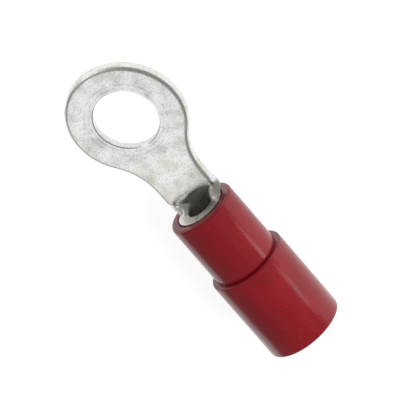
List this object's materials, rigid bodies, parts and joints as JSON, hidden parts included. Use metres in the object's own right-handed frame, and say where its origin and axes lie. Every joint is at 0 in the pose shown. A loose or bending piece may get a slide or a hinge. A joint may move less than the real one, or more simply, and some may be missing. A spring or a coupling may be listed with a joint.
{
  "type": "ring terminal",
  "caption": "Insulated crimp ring terminal: a stamped ring tongue with a stud hole, rolled into a seamed wire barrel, in a stepped sleeve with a funnel entry for the wire.",
  "frame": {"origin": "centre of the stud hole on the tongue's underside, the face that seats on the terminal block", "axes": "+Z along the stud's axis to the side where the barrel's seam lies; +X from the stud hole back along the wire; the part is symmetric about the XZ plane"},
  "size_m": [0.023, 0.008, 0.0054],
  "materials": {
    "tinned_copper": "satin electroplated tin with fine handling marks",
    "red_sleeve": "smooth moulded vinyl, softly glossy"
  },
  "bodies": {
    "root": {"terminal": "tinned_copper", "insulating_sleeve": "red_sleeve"}
  },
  "joints": []
}
